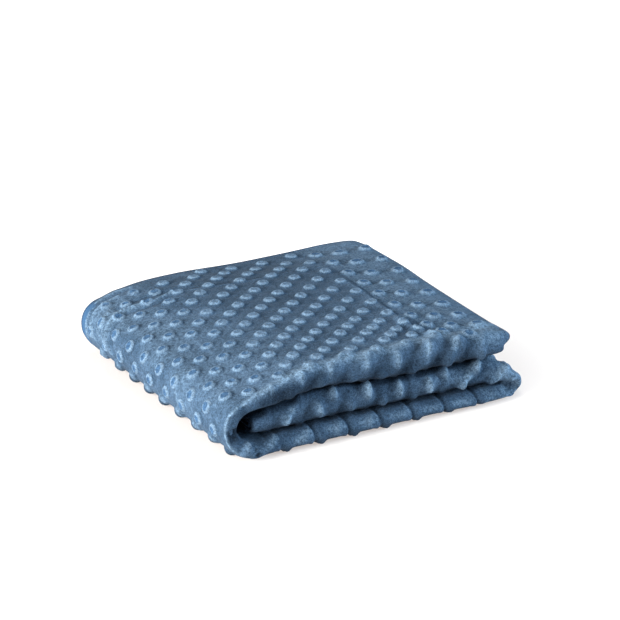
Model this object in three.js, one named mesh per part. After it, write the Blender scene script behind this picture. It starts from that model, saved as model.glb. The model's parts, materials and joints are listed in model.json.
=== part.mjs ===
import * as THREE from 'three';

// A baby blanket of double-sided plush with raised round dots, lying folded on a table.
// The sheet is folded in half twice along its length, which makes a strip of four sheets.
// The strip is then folded in three: a middle layer, a turn at the right, a bottom layer,
// a rounded turn at the left, and a top layer that ends in a nose above the right turn.
// Millimetres, +Z up, the long front folds towards -Y, +X to the right.
// Places below are measured from the front end of the left turn, where it meets the table.

// The four sheets in the strip, as shares of the strip's thickness
const SHEET_SHARE = 0.22;
const GAP_SHARE = 0.04;
const PITCH_SHARE = SHEET_SHARE + GAP_SHARE;

// The raised dots stand on a centred square lattice, four steps of the mesh to a pitch
const DOT_PITCH = 26;
const DOT_HEIGHT = 3;
const STEPS_PER_PITCH = 4;
const FINE_STEP = DOT_PITCH / STEPS_PER_PITCH;
const FINE_COLUMNS = 36;

// Heights of the three layers' faces along the front, from left to right. topBack is the
// height that the top face falls to at the back edge.
const LAYERS = [
  { x: 12, bottomTop: 13.6, middleLow: 17.2, middleTop: 30.8, topLow: 35.4, topHigh: 43.8, topBack: 43.6 },
  { x: 30, bottomTop: 13.4, middleLow: 15.0, middleTop: 33.0, topLow: 35.8, topHigh: 50.0, topBack: 48.2 },
  { x: 48, bottomTop: 13.8, middleLow: 14.8, middleTop: 36.6, topLow: 38.8, topHigh: 53.8, topBack: 50.2 },
  { x: 64, bottomTop: 14.2, middleLow: 15.4, middleTop: 37.4, topLow: 39.8, topHigh: 55.6, topBack: 51.0 },
  { x: 84, bottomTop: 14.0, middleLow: 15.4, middleTop: 37.0, topLow: 39.2, topHigh: 56.0, topBack: 51.4 },
  { x: 110, bottomTop: 13.4, middleLow: 14.8, middleTop: 33.8, topLow: 36.0, topHigh: 56.0, topBack: 51.8 },
  { x: 145, bottomTop: 12.6, middleLow: 14.0, middleTop: 33.2, topLow: 35.6, topHigh: 55.8, topBack: 52.6 },
  { x: 178, bottomTop: 11.8, middleLow: 13.4, middleTop: 32.6, topLow: 35.6, topHigh: 55.6, topBack: 52.6 },
  { x: 200, bottomTop: 11.4, middleLow: 13.2, middleTop: 32.0, topLow: 35.8, topHigh: 55.0, topBack: 52.4 },
  { x: 212, bottomTop: 11.4, middleLow: 13.2, middleTop: 31.0, topLow: 37.2, topHigh: 53.2, topBack: 51.8 },
  { x: 224, bottomTop: 11.4, middleLow: 13.2, middleTop: 30.0, topLow: 41.6, topHigh: 49.6, topBack: 50.4 },
];

// Behind the front edge the seam under the top layer settles to these heights, away from
// the ends of the layers
const SETTLED = { middleTop: 33.2, topLow: 34.9 };
const SETTLING = { leftFrom: 20, leftTo: 60, rightFrom: 190, rightTo: 212, frontFrom: 15, frontTo: 90 };

// The turns at the two ends, a row for each stage of the turn
const RIGHT_TURN = [
  { outerX: 213, outerZ: 30.4, innerX: 211, innerZ: 13.4 },
  { outerX: 222, outerZ: 25.8, innerX: 218, innerZ: 13.3 },
  { outerX: 230.5, outerZ: 19.6, innerX: 222.5, innerZ: 12.8 },
  { outerX: 237, outerZ: 13.4, innerX: 224.4, innerZ: 12.1 },
  { outerX: 237.4, outerZ: 8.2, innerX: 223.8, innerZ: 11.4 },
  { outerX: 232.6, outerZ: 3.4, innerX: 220.6, innerZ: 10.9 },
  { outerX: 224.5, outerZ: 0.6, innerX: 215.6, innerZ: 10.8 },
  { outerX: 213, outerZ: 0, innerX: 208, innerZ: 11.1 },
];
const LEFT_TURN = [
  { outerX: 21, outerZ: 0, innerX: 23, innerZ: 13.5 },
  { outerX: 12, outerZ: 0, innerX: 15, innerZ: 14 },
  { outerX: 6.4, outerZ: 1.3, innerX: 10, innerZ: 15 },
  { outerX: 0.2, outerZ: 5.2, innerX: 5.8, innerZ: 17.2 },
  { outerX: -5.2, outerZ: 11.8, innerX: 2.6, innerZ: 20.3 },
  { outerX: -8.8, outerZ: 20.2, innerX: 1.3, innerZ: 24.2 },
  { outerX: -8.9, outerZ: 28.8, innerX: 1.8, innerZ: 28.2 },
  { outerX: -5.6, outerZ: 36, innerX: 4.2, innerZ: 31.6 },
  { outerX: 0.6, outerZ: 40.8, innerX: 8.8, innerZ: 34.2 },
  { outerX: 9.6, outerZ: 43.6, innerX: 14.4, innerZ: 35.4 },
  { outerX: 20, outerZ: 46.6, innerX: 22.4, innerZ: 35.6 },
];

// Where the plain rows of the three layers stand, the top layer's as shares of its length
const MIDDLE_PLACES = [10, 13, 26, 46, 66, 86, 104, 126, 156, 186, 202];
const BOTTOM_PLACES = [200, 180, 145, 110, 75, 45, 28];
const TOP_START = 26;
const TOP_SHARES = [0, 0.06, 0.13, 0.22, 0.35, 0.5, 0.65, 0.8, 0.88, 0.94, 1];

// The top layer's right end, which runs out further at the back than at the front
const TOP_END = [
  { y: 0, x: 224 },
  { y: 40, x: 226 },
  { y: 100, x: 231 },
  { y: 175, x: 239.5 },
  { y: 212, x: 243 },
  { y: 232, x: 242 },
  { y: 250, x: 236 },
];

// How deep the stack is from front to back, from left to right
const DEPTHS = [
  { x: -10, depth: 239 },
  { x: 0, depth: 240 },
  { x: 40, depth: 242 },
  { x: 100, depth: 243 },
  { x: 150, depth: 245 },
  { x: 210, depth: 246 },
  { x: 245, depth: 243 },
];
const MIDDLE_Y = 120;
const LOWER_DEPTH_LOSS = 5;
const DEPTH_CHANGE_ROWS = 4;
const INNER_HEM_SETBACK = 4;
const CREASE_SETBACK = 2;
const HEM_BULGE = 1.2;
const HEM_PLUMP = 0.65;

// The inner sheets end short of the outer one and leave a low step in the top
const STEP_RIGHT_LINE = [
  { y: 0, x: 170 },
  { y: 25, x: 160 },
  { y: 75, x: 168 },
  { y: 145, x: 179 },
  { y: 200, x: 183 },
  { y: 250, x: 184 },
];
const STEP_BACK_LINE = 192;
const STEP_DROP = { back: 0.9, right: 1.8 };
const STEP_WIDTH = 9;
const BACK_FALL = { from: 195, to: 243, early: 0.3 };

// Slow waves in the faces of the layers
const SWAY = { seam: 0.5, top: 0.5, longX: 53, shortX: 31, longY: 47, shortY: 29, shift: 1.7 };
const SHOULDER = { from: 20, to: 60 };

// The front edges of the layers don't lie quite above each other
const FRONT_SETBACK = { middle: 3, bottom: 1, top: 0 };
const NOSE_SETBACK = 7;
const NOSE_LENGTH = 16;

// Steps round the folds of one sheet, and along its flat runs
const FOLD_STEPS = { front: 7, innerFront: 4, crease: 4, flat: 4 };

// On the dotted flat of the top layer only every third row goes round the whole section,
// and near its end every row does
const FULL_ROW_EVERY = 3;
const NOSE_ROWS = 4;

const { clamp, lerp, smoothstep } = THREE.MathUtils;

// A smooth value between the second and third of four, by the spans between them
function smoothBetween(values, spans, t) {
  const [before, from, to, after] = values;
  const rise = (to - from) / spans[1];
  const blend = (a, b, spanA, spanB) => (a * spanB + b * spanA) / (spanA + spanB);
  const startRise = spans[0] ? blend((from - before) / spans[0], rise, spans[0], spans[1]) : rise;
  const endRise = spans[2] ? blend(rise, (after - to) / spans[2], spans[1], spans[2]) : rise;
  const square = t * t;
  const cube = square * t;
  return (2 * cube - 3 * square + 1) * from + (cube - 2 * square + t) * startRise * spans[1]
    + (3 * square - 2 * cube) * to + (cube - square) * endRise * spans[1];
}

// The value of a table's column at a place along another of its columns
function read(table, along, column, place) {
  const last = table.length - 1;
  const inside = clamp(place, table[0][along], table[last][along]);
  let row = 0;
  while (row < last - 1 && inside > table[row + 1][along]) row += 1;
  const four = [row - 1, row, row + 1, row + 2].map((index) => table[clamp(index, 0, last)]);
  const spans = [0, 1, 2].map((index) => four[index + 1][along] - four[index][along]);
  const t = (inside - table[row][along]) / spans[1];
  return smoothBetween(four.map((entry) => entry[column]), spans, t);
}

// Slow waves that keep the layers from being flat and even
function sway(x, y, height) {
  const first = Math.sin(x / SWAY.shortX + y / SWAY.longY);
  const second = Math.sin(x / SWAY.longX - y / SWAY.shortY + SWAY.shift);
  return height * (first + second) / 2;
}

// The seam under the top layer, with its front bulge that fades towards the back
function seamHeight(column, x, y) {
  const atFront = read(LAYERS, 'x', column, x);
  const fromLeft = smoothstep(x, SETTLING.leftFrom, SETTLING.leftTo);
  const toRight = 1 - smoothstep(x, SETTLING.rightFrom, SETTLING.rightTo);
  const settled = lerp(atFront, SETTLED[column] + sway(x, y, SWAY.seam), fromLeft * toRight);
  return lerp(atFront, settled, smoothstep(y, SETTLING.frontFrom, SETTLING.frontTo));
}

// The top face, lower to the right of and behind the inner sheets, and at the back edge
function topHeight(x, y, tableX) {
  const rightLine = read(STEP_RIGHT_LINE, 'y', 'x', y);
  const right = smoothstep(x, rightLine - STEP_WIDTH / 2, rightLine + STEP_WIDTH / 2);
  const back = smoothstep(y, STEP_BACK_LINE - STEP_WIDTH / 2, STEP_BACK_LINE + STEP_WIDTH / 2);
  const drop = Math.max(right * STEP_DROP.right, back * STEP_DROP.back);
  const edge = smoothstep(y, BACK_FALL.from, BACK_FALL.to);
  const waves = sway(x, y, SWAY.top) * smoothstep(x, SHOULDER.from, SHOULDER.to);
  const plateau = read(LAYERS, 'x', 'topHigh', tableX) - drop + waves;
  const fall = lerp(BACK_FALL.early * clamp(y / BACK_FALL.from, 0, 1), 1, edge);
  return lerp(plateau, read(LAYERS, 'x', 'topBack', tableX), fall);
}

// Rows of the strip: each gives its outer and its inner edge, in X and Z, at any Y
function middleRow(x) {
  return {
    front: FRONT_SETBACK.middle,
    outer: (y) => [x, seamHeight('middleTop', x, y)],
    inner: () => [x, read(LAYERS, 'x', 'middleLow', x)],
  };
}

function bottomRow(x) {
  return {
    front: FRONT_SETBACK.bottom,
    outer: () => [x, 0],
    inner: () => [x, read(LAYERS, 'x', 'bottomTop', x)],
  };
}

function turnRow(row, front) {
  return {
    front,
    outer: () => [row.outerX, row.outerZ],
    inner: () => [row.innerX, row.innerZ],
  };
}

function topRow(share) {
  const frontX = lerp(TOP_START, TOP_END[0].x, share);
  const place = (y) => lerp(TOP_START, read(TOP_END, 'y', 'x', y), share);
  const nose = smoothstep(frontX, TOP_END[0].x - NOSE_LENGTH, TOP_END[0].x);
  return {
    front: FRONT_SETBACK.top + NOSE_SETBACK * nose * nose,
    outer: (y) => [place(y), topHeight(place(y), y, frontX)],
    inner: (y) => [place(y), seamHeight('topLow', frontX, y)],
  };
}

const spine = [
  ...MIDDLE_PLACES.map(middleRow),
  ...RIGHT_TURN.map((row) => turnRow(row, FRONT_SETBACK.bottom)),
  ...BOTTOM_PLACES.map(bottomRow),
  ...LEFT_TURN.map((row) => turnRow(row, FRONT_SETBACK.top)),
  ...TOP_SHARES.map(topRow),
];
const SPINE_END = spine.length - 1;
const DOTS_START = MIDDLE_PLACES.length + RIGHT_TURN.length + BOTTOM_PLACES.length + 1;

// A point of the strip's outer or inner edge, at a place between the rows
function edgePoint(edge, place, y) {
  const row = Math.min(Math.floor(place), SPINE_END - 1);
  const four = [row - 1, row, row + 1, row + 2].map((index) => spine[clamp(index, 0, SPINE_END)][edge](y));
  const spans = [0, 1, 2].map((index) => {
    const [from, to] = [four[index], four[index + 1]];
    return Math.hypot(to[0] - from[0], to[1] - from[1]);
  });
  const along = (axis) => smoothBetween(four.map((point) => point[axis]), spans, place - row);
  return new THREE.Vector2(along(0), along(1));
}

function frontSetback(place) {
  const row = Math.min(Math.floor(place), SPINE_END - 1);
  return lerp(spine[row].front, spine[row + 1].front, place - row);
}

// One point of the strip: share is 0 on the inner edge and 1 on the outer edge
function stripPoint(place, y, share, lift = 0) {
  const inner = edgePoint('inner', place, y);
  const across = edgePoint('outer', place, y).sub(inner);
  const point = inner.addScaledVector(across, share).addScaledVector(across.normalize(), lift);
  return new THREE.Vector3(point.x, y + frontSetback(place), point.y);
}

// Parts of a section, as lists of y and share
function foldPart(centre, radiusY, radiusShare, steps) {
  const points = [];
  for (let step = 1; step < steps; step += 1) {
    const angle = Math.PI * step / steps;
    points.push([centre.y + radiusY * Math.sin(angle), centre.share + radiusShare * Math.cos(angle)]);
  }
  return points;
}

function flatPart(fromY, toY, share, steps) {
  const points = [];
  for (let step = 0; step <= steps; step += 1) points.push([lerp(fromY, toY, step / steps), share]);
  return points;
}

// One face of the sheet, from the top hem round the front fold, the back crease and the
// inner front fold to the inner hem. side is 1 for the outside face and -1 for the other.
function sheetFace(sizes, side) {
  const { radius, depth, thickness, plump } = sizes;
  const half = SHEET_SHARE / 2 * plump * side;
  const outer = 0.5 - SHEET_SHARE / 2;
  const inner = outer - PITCH_SHARE;
  const crease = PITCH_SHARE / 2;
  const creaseY = depth - CREASE_SETBACK - (crease + SHEET_SHARE / 2) * thickness;
  const front = { y: radius, share: 0.5 };
  const back = { y: creaseY, share: SHEET_SHARE / 2 + crease };
  return [
    flatPart(depth, radius, 0.5 + outer + half, FOLD_STEPS.flat),
    foldPart(front, -(outer + half) * thickness, outer + half, FOLD_STEPS.front),
    flatPart(radius, creaseY, 0.5 - outer - half, FOLD_STEPS.flat),
    foldPart(back, (crease + half) * thickness, -(crease + half), FOLD_STEPS.crease),
    flatPart(creaseY, radius, 0.5 - inner + half, FOLD_STEPS.flat),
    foldPart(front, -(inner - half) * thickness, -(inner - half), FOLD_STEPS.innerFront),
    flatPart(radius, depth - INNER_HEM_SETBACK, 0.5 + inner - half, FOLD_STEPS.flat),
  ];
}

// The lower layers are a little less deep than the top one
function sectionSizes(place, plump) {
  const outer = edgePoint('outer', place, MIDDLE_Y);
  const inner = edgePoint('inner', place, MIDDLE_Y);
  const thickness = outer.distanceTo(inner);
  const lower = 1 - smoothstep(place, DOTS_START, DOTS_START + DEPTH_CHANGE_ROWS);
  const depth = read(DEPTHS, 'x', 'depth', outer.x) - lower * LOWER_DEPTH_LOSS;
  return { plump, thickness, radius: thickness / 2, depth: depth - frontSetback(place) };
}

// The mesh is made of rows of points, joined row to row
const positions = [];
const triangles = [];

function addPoint(place, y, share, lift) {
  const point = stripPoint(place, y, share, lift);
  positions.push(point.x, point.y, point.z);
  return positions.length / 3 - 1;
}

const addPart = (place, part) => part.map(([y, share]) => addPoint(place, y, share));

// The dotted face of the outermost sheet, from the hem to the front fold
function dottedPart(place, sizes, rowIndex) {
  const ids = [];
  const share = 1 - SHEET_SHARE / 2 * (1 - sizes.plump);
  const onRow = rowIndex % STEPS_PER_PITCH;
  for (let column = FINE_COLUMNS; column >= 0; column -= 1) {
    const y = lerp(sizes.radius, sizes.depth, column / FINE_COLUMNS);
    const onColumn = column % STEPS_PER_PITCH;
    const onLattice = onRow === onColumn && onRow % 2 === 0;
    const inside = rowIndex > 0 && column > 0 && column < FINE_COLUMNS && sizes.plump === 1;
    ids.push(addPoint(place, y, share, onLattice && inside ? DOT_HEIGHT : 0));
  }
  return ids;
}

// A full row goes round the whole section: the top run first, then all the rest.
// A short row has the dotted top run alone.
function addRow(place, plump, rowIndex, full) {
  const sizes = sectionSizes(place, plump);
  const dotted = rowIndex !== null;
  const outside = sheetFace(sizes, 1);
  const top = dotted ? dottedPart(place, sizes, rowIndex) : addPart(place, outside[0]);
  if (!full) return { top };
  const outsideParts = [top, ...outside.slice(1).map((part) => addPart(place, part))];
  const insideParts = sheetFace(sizes, -1).map((part) => addPart(place, part));
  const bulge = HEM_BULGE * plump;
  const topHem = addPoint(place, sizes.depth + bulge, 1 - SHEET_SHARE / 2);
  const innerHem = addPoint(place, sizes.depth - INNER_HEM_SETBACK + bulge,
    1 - SHEET_SHARE / 2 - PITCH_SHARE);
  const rest = [...outsideParts.slice(1).flat(), innerHem, ...insideParts.flat().reverse(), topHem];
  return { top, rest, outsideParts, insideParts, topHem, innerHem };
}

// Joins two lines of points, which may differ in number
function zip(near, far) {
  let a = 0;
  let b = 0;
  while (a < near.length - 1 || b < far.length - 1) {
    const nextA = (a + 1) / (near.length - 1);
    const nextB = (b + 1) / (far.length - 1);
    if (b === far.length - 1 || (a < near.length - 1 && nextA <= nextB)) {
      triangles.push([near[a], near[a + 1], far[b]]);
      a += 1;
    } else {
      triangles.push([near[a], far[b + 1], far[b]]);
      b += 1;
    }
  }
}

// Joins all rows: the rest of the section only between full rows
function joinRows(rows) {
  let lastFull = 0;
  for (let index = 1; index < rows.length; index += 1) {
    zip(rows[index - 1].top, rows[index].top);
    if (!rows[index].rest) continue;
    const near = rows[lastFull].rest;
    const far = rows[index].rest;
    const between = rows.slice(lastFull, index + 1);
    zip(near, far);
    zip([near[0], far[0]], between.map((row) => row.top.at(-1)));
    zip(between.map((row) => row.top[0]), [near.at(-1), far.at(-1)]);
    lastFull = index;
  }
}

// Closes an end of the strip, sheet by sheet
function closeEnd(row, turned) {
  const start = triangles.length;
  const { outsideParts, insideParts } = row;
  outsideParts.forEach((part, index) => {
    zip(part, insideParts[index]);
    const next = outsideParts[index + 1];
    if (next) zip([part.at(-1), next[0]], [insideParts[index].at(-1), insideParts[index + 1][0]]);
  });
  triangles.push([insideParts[0][0], row.topHem, outsideParts[0][0]]);
  triangles.push([outsideParts.at(-1).at(-1), row.innerHem, insideParts.at(-1).at(-1)]);
  if (turned) triangles.slice(start).forEach((triangle) => triangle.reverse());
}

// Places along the dotted stretch, evenly spaced along its outer edge
function dottedPlaces() {
  const samplesPerRow = 40;
  const places = [DOTS_START];
  let last = edgePoint('outer', DOTS_START, MIDDLE_Y);
  let walked = 0;
  for (let place = DOTS_START; place < SPINE_END; place += 1 / samplesPerRow) {
    const point = edgePoint('outer', place, MIDDLE_Y);
    walked += point.distanceTo(last);
    last = point;
    if (walked >= FINE_STEP) {
      walked -= FINE_STEP;
      places.push(place);
    }
  }
  places[places.length - 1] = SPINE_END;
  return places;
}

function blanketGeometry() {
  const rows = [];
  for (let place = 0; place < DOTS_START; place += 1) {
    rows.push(addRow(place, place === 0 ? HEM_PLUMP : 1, null, true));
  }
  const turnEnd = DOTS_START + LEFT_TURN.length;
  const places = dottedPlaces();
  places.forEach((place, index) => {
    const rowsToEnd = places.length - 1 - index;
    const full = place < turnEnd || rowsToEnd < NOSE_ROWS || index % FULL_ROW_EVERY === 0;
    rows.push(addRow(place, rowsToEnd === 0 ? HEM_PLUMP : 1, index, full));
  });
  joinRows(rows);
  closeEnd(rows[0], true);
  closeEnd(rows.at(-1), false);
  const geometry = new THREE.BufferGeometry();
  geometry.setAttribute('position', new THREE.Float32BufferAttribute(positions, 3));
  geometry.setIndex(triangles.flat());
  geometry.computeVertexNormals();
  return geometry;
}

// The part's origin is on the table, under the middle of the stack
function placeOnTable(geometry) {
  geometry.computeBoundingBox();
  const { min, max } = geometry.boundingBox;
  geometry.translate(-(min.x + max.x) / 2, -(min.y + max.y) / 2, -min.z);
}

const plush = new THREE.MeshStandardMaterial({ color: '#536a84', roughness: 0.95, metalness: 0 });
const blanketShape = blanketGeometry();
placeOnTable(blanketShape);
const blanket = new THREE.Mesh(blanketShape, plush);
blanket.name = 'blanket';

const part = new THREE.Group();
part.add(blanket);

export default part;
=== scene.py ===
import json
from types import SimpleNamespace as Group

import bmesh
import bpy
import numpy as np
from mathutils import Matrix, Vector

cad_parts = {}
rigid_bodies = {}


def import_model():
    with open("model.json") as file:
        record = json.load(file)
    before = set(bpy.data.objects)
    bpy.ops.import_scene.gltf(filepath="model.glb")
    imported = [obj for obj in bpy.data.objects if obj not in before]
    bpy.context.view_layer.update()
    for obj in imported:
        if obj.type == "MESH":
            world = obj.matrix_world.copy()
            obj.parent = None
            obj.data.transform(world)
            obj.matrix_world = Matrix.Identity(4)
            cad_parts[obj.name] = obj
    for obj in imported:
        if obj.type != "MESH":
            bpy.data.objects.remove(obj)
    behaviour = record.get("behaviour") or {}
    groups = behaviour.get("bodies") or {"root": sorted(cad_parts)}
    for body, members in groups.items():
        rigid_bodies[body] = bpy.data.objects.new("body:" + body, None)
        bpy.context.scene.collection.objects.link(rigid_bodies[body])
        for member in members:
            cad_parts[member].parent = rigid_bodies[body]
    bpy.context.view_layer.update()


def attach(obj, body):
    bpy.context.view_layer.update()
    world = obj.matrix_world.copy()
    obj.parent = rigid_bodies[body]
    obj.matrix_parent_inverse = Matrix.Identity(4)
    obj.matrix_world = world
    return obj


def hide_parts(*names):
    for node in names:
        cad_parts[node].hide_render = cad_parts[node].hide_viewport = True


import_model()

MM = 0.001
scene = bpy.context.scene
join = np.concatenate


def table(names, rows):
    """A short table: its columns by name."""
    return dict(zip(names.split(), np.array(rows, float).T))


def rows(names, values):
    """The same as a list of its rows."""
    return [Group(**dict(zip(names.split(), row))) for row in values]


# The folded strip, in millimetres from the front end of the left turn: the CAD part's own tables
SHEET_SHARE = 0.22
GAP_SHARE = 0.04
PITCH_SHARE = SHEET_SHARE + GAP_SHARE
OUTER_SHARE = 0.5 - SHEET_SHARE / 2
INNER_SHARE = OUTER_SHARE - PITCH_SHARE
CREASE_SHARE = PITCH_SHARE / 2
LAYERS = table("x bottom_top middle_low middle_top top_low top_high top_back", [
    (12, 13.6, 17.2, 30.8, 35.4, 43.8, 43.6),
    (30, 13.4, 15.0, 33.0, 35.8, 50.0, 48.2),
    (48, 13.8, 14.8, 36.6, 38.8, 53.8, 50.2),
    (64, 14.2, 15.4, 37.4, 39.8, 55.6, 51.0),
    (84, 14.0, 15.4, 37.0, 39.2, 56.0, 51.4),
    (110, 13.4, 14.8, 33.8, 36.0, 56.0, 51.8),
    (145, 12.6, 14.0, 33.2, 35.6, 55.8, 52.6),
    (178, 11.8, 13.4, 32.6, 35.6, 55.6, 52.6),
    (200, 11.4, 13.2, 32.0, 35.8, 55.0, 52.4),
    (212, 11.4, 13.2, 31.0, 37.2, 53.2, 51.8),
    (224, 11.4, 13.2, 30.0, 41.6, 49.6, 50.4),
])
SETTLED = {"middle_top": 33.2, "top_low": 34.9}
SETTLED_LEFT = (20, 60)
SETTLED_RIGHT = (212, 190)
SETTLED_FRONT = (15, 90)
RIGHT_TURN = rows("outer_x outer_z inner_x inner_z", [
    (213, 30.4, 211, 13.4), (222, 25.8, 218, 13.3), (230.5, 19.6, 222.5, 12.8), (237, 13.4, 224.4, 12.1),
    (237.4, 8.2, 223.8, 11.4), (232.6, 3.4, 220.6, 10.9), (224.5, 0.6, 215.6, 10.8), (213, 0, 208, 11.1),
])
LEFT_TURN = rows("outer_x outer_z inner_x inner_z", [
    (21, 0, 23, 13.5), (12, 0, 15, 14), (6.4, 1.3, 10, 15), (0.2, 5.2, 5.8, 17.2), (-5.2, 11.8, 2.6, 20.3),
    (-8.8, 20.2, 1.3, 24.2), (-8.9, 28.8, 1.8, 28.2), (-5.6, 36, 4.2, 31.6), (0.6, 40.8, 8.8, 34.2),
    (9.6, 43.6, 14.4, 35.4), (20, 46.6, 22.4, 35.6),
])
MIDDLE_PLACES = [10, 13, 26, 46, 66, 86, 104, 126, 156, 186, 202]
BOTTOM_PLACES = [200, 180, 145, 110, 75, 45, 28]
TOP_START = 26
TOP_SHARES = [0, 0.06, 0.13, 0.22, 0.35, 0.5, 0.65, 0.8, 0.88, 0.94, 1]
TOP_END = table("y x", [(0, 224), (40, 226), (100, 231), (175, 239.5), (212, 243), (232, 242), (250, 236)])
DEPTHS = table("x depth", [(-10, 239), (0, 240), (40, 242), (100, 243), (150, 245), (210, 246), (245, 243)])
MIDDLE_Y = 120
LOWER_DEPTH_LOSS = 5
DEPTH_CHANGE_ROWS = 4
INNER_HEM_SETBACK = 4
CREASE_SETBACK = 2
STEP_RIGHT_LINE = table("y x", [(0, 170), (25, 160), (75, 168), (145, 179), (200, 183), (250, 184)])
STEP_BACK_LINE = 192
STEP_DROP = Group(back=0.9, right=1.8)
STEP_WIDTH = 9
BACK_FALL = Group(start=195, end=243, early=0.3)
SWAY = Group(seam=0.5, top=0.5, long_x=53, short_x=31, long_y=47, short_y=29, shift=1.7)
FRONT_SETBACK = Group(middle=3, bottom=1, top=0)
NOSE_SETBACK = 7
NOSE_LENGTH = 16
# The middle of the CAD part's outline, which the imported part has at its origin
FOOT = (115.5261, 123.8230, 0)


def ramp(x, start, end):
    """A soft ramp from 0 at start to 1 at end, either way along x."""
    t = np.clip((np.asarray(x, float) - start) / (end - start), 0, 1)
    return t * t * (3 - 2 * t)


def mix(a, b, t):
    return a + (b - a) * t


def bell(x):
    return np.exp(-x * x)


def smooth_between(values, spans, t):
    """A smooth value between the second and third of four."""
    before, start, end, after = values
    rise = (end - start) / spans[1]

    def rise_beside(step, span):
        known = np.where(span > 0, span, 1)
        shared = (step / known * spans[1] + rise * known) / (known + spans[1])
        return np.where(span > 0, shared, rise)
    start_rise = rise_beside(start - before, spans[0])
    end_rise = rise_beside(after - end, spans[2])
    square, cube = t * t, t * t * t
    return ((2 * cube - 3 * square + 1) * start + (cube - 2 * square + t) * start_rise * spans[1]
            + (3 * square - 2 * cube) * end + (cube - square) * end_rise * spans[1])


def read(columns, column, place):
    """The smooth value of a table's column at places along its first column."""
    xs, ys = next(iter(columns.values())), columns[column]
    place = np.clip(place, xs[0], xs[-1])
    row = np.clip(np.searchsorted(xs, place) - 1, 0, len(xs) - 2)
    four = [np.clip(row + step, 0, len(xs) - 1) for step in (-1, 0, 1, 2)]
    spans = [xs[four[k + 1]] - xs[four[k]] for k in range(3)]
    return smooth_between([ys[f] for f in four], spans, (place - xs[row]) / spans[1])


def straight(columns, column, place):
    """The same along straight lines between the rows."""
    return np.interp(place, next(iter(columns.values())), columns[column])


def sway(x, y, height):
    """Slow waves of the layers."""
    first = np.sin(x / SWAY.short_x + y / SWAY.long_y)
    second = np.sin(x / SWAY.long_x - y / SWAY.short_y + SWAY.shift)
    return height * (first + second) / 2


def seam_height(column, x, y):
    at_front = read(LAYERS, column, x)
    inside = ramp(x, *SETTLED_LEFT) * ramp(x, *SETTLED_RIGHT)
    settled = mix(at_front, SETTLED[column] + sway(x, y, SWAY.seam), inside)
    return mix(at_front, settled, ramp(y, *SETTLED_FRONT))


def top_height(x, y, table_x):
    right_line = read(STEP_RIGHT_LINE, "x", y)
    right = ramp(x, right_line - STEP_WIDTH / 2, right_line + STEP_WIDTH / 2)
    back = ramp(y, STEP_BACK_LINE - STEP_WIDTH / 2, STEP_BACK_LINE + STEP_WIDTH / 2)
    drop = np.maximum(right * STEP_DROP.right, back * STEP_DROP.back)
    edge = ramp(y, BACK_FALL.start, BACK_FALL.end)
    waves = sway(x, y, SWAY.top) * ramp(x, *SETTLED_LEFT)
    plateau = read(LAYERS, "top_high", table_x) - drop + waves
    fall = mix(BACK_FALL.early * np.clip(y / BACK_FALL.start, 0, 1), 1, edge)
    return mix(plateau, read(LAYERS, "top_back", table_x), fall)


def fixed(x, z):
    return lambda y: (x + 0 * y, z + 0 * y)


def middle_row(x):
    return {"front": FRONT_SETBACK.middle, "inner": fixed(x, read(LAYERS, "middle_low", x)),
            "outer": lambda y: (x + 0 * y, seam_height("middle_top", x, y))}


def bottom_row(x):
    return {"front": FRONT_SETBACK.bottom, "inner": fixed(x, read(LAYERS, "bottom_top", x)),
            "outer": fixed(x, 0)}


def turn_rows(turn, front):
    return [{"front": front, "inner": fixed(row.inner_x, row.inner_z),
             "outer": fixed(row.outer_x, row.outer_z)} for row in turn]


def top_row(share):
    end_x = TOP_END["x"][0]
    front_x = mix(TOP_START, end_x, share)
    nose = float(ramp(front_x, end_x - NOSE_LENGTH, end_x))

    def place(y):
        return mix(TOP_START, read(TOP_END, "x", y), share)
    return {"front": FRONT_SETBACK.top + NOSE_SETBACK * nose * nose,
            "outer": lambda y: (place(y), top_height(place(y), y, front_x)),
            "inner": lambda y: (place(y), seam_height("top_low", front_x, y))}


SPINE = [
    *map(middle_row, MIDDLE_PLACES),
    *turn_rows(RIGHT_TURN, FRONT_SETBACK.bottom),
    *map(bottom_row, BOTTOM_PLACES),
    *turn_rows(LEFT_TURN, FRONT_SETBACK.top),
    *map(top_row, TOP_SHARES),
]
SPINE_END = len(SPINE) - 1
RIGHT_START = len(MIDDLE_PLACES)
BOTTOM_START = RIGHT_START + len(RIGHT_TURN)
LEFT_START = BOTTOM_START + len(BOTTOM_PLACES)
TOP_LAYER_START = LEFT_START + len(LEFT_TURN)
DOTS_START = LEFT_START + 1


def edge_point(edge, place, y):
    """Points of an edge of the strip at a place between the spine's rows."""
    row = int(min(np.floor(place), SPINE_END - 1))
    y = np.asarray(y, float)
    four = [np.stack(SPINE[min(max(row + step, 0), SPINE_END)][edge](y), -1) for step in (-1, 0, 1, 2)]
    spans = [np.linalg.norm(four[k + 1] - four[k], axis=-1, keepdims=True) for k in range(3)]
    return smooth_between(four, spans, place - row)


def front_setback(place):
    row = int(min(np.floor(place), SPINE_END - 1))
    return mix(SPINE[row]["front"], SPINE[row + 1]["front"], place - row)


def strip_points(place, y, share):
    """Points of the strip: share is 0 on the inner edge and 1 on the outer edge."""
    inner = edge_point("inner", place, y)
    outer = edge_point("outer", place, y)
    point = inner + (outer - inner) * np.asarray(share)[..., None]
    return np.stack([point[..., 0], np.asarray(y) + front_setback(place), point[..., 1]], -1)


def thickness_at(place):
    return float(np.hypot(*(edge_point("outer", place, MIDDLE_Y) - edge_point("inner", place, MIDDLE_Y))))


def depth_at(place):
    outer_x = float(edge_point("outer", place, MIDDLE_Y)[0])
    lower = 1 - float(ramp(place, DOTS_START, DOTS_START + DEPTH_CHANGE_ROWS))
    return float(read(DEPTHS, "depth", outer_x)) - lower * LOWER_DEPTH_LOSS - front_setback(place)


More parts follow.
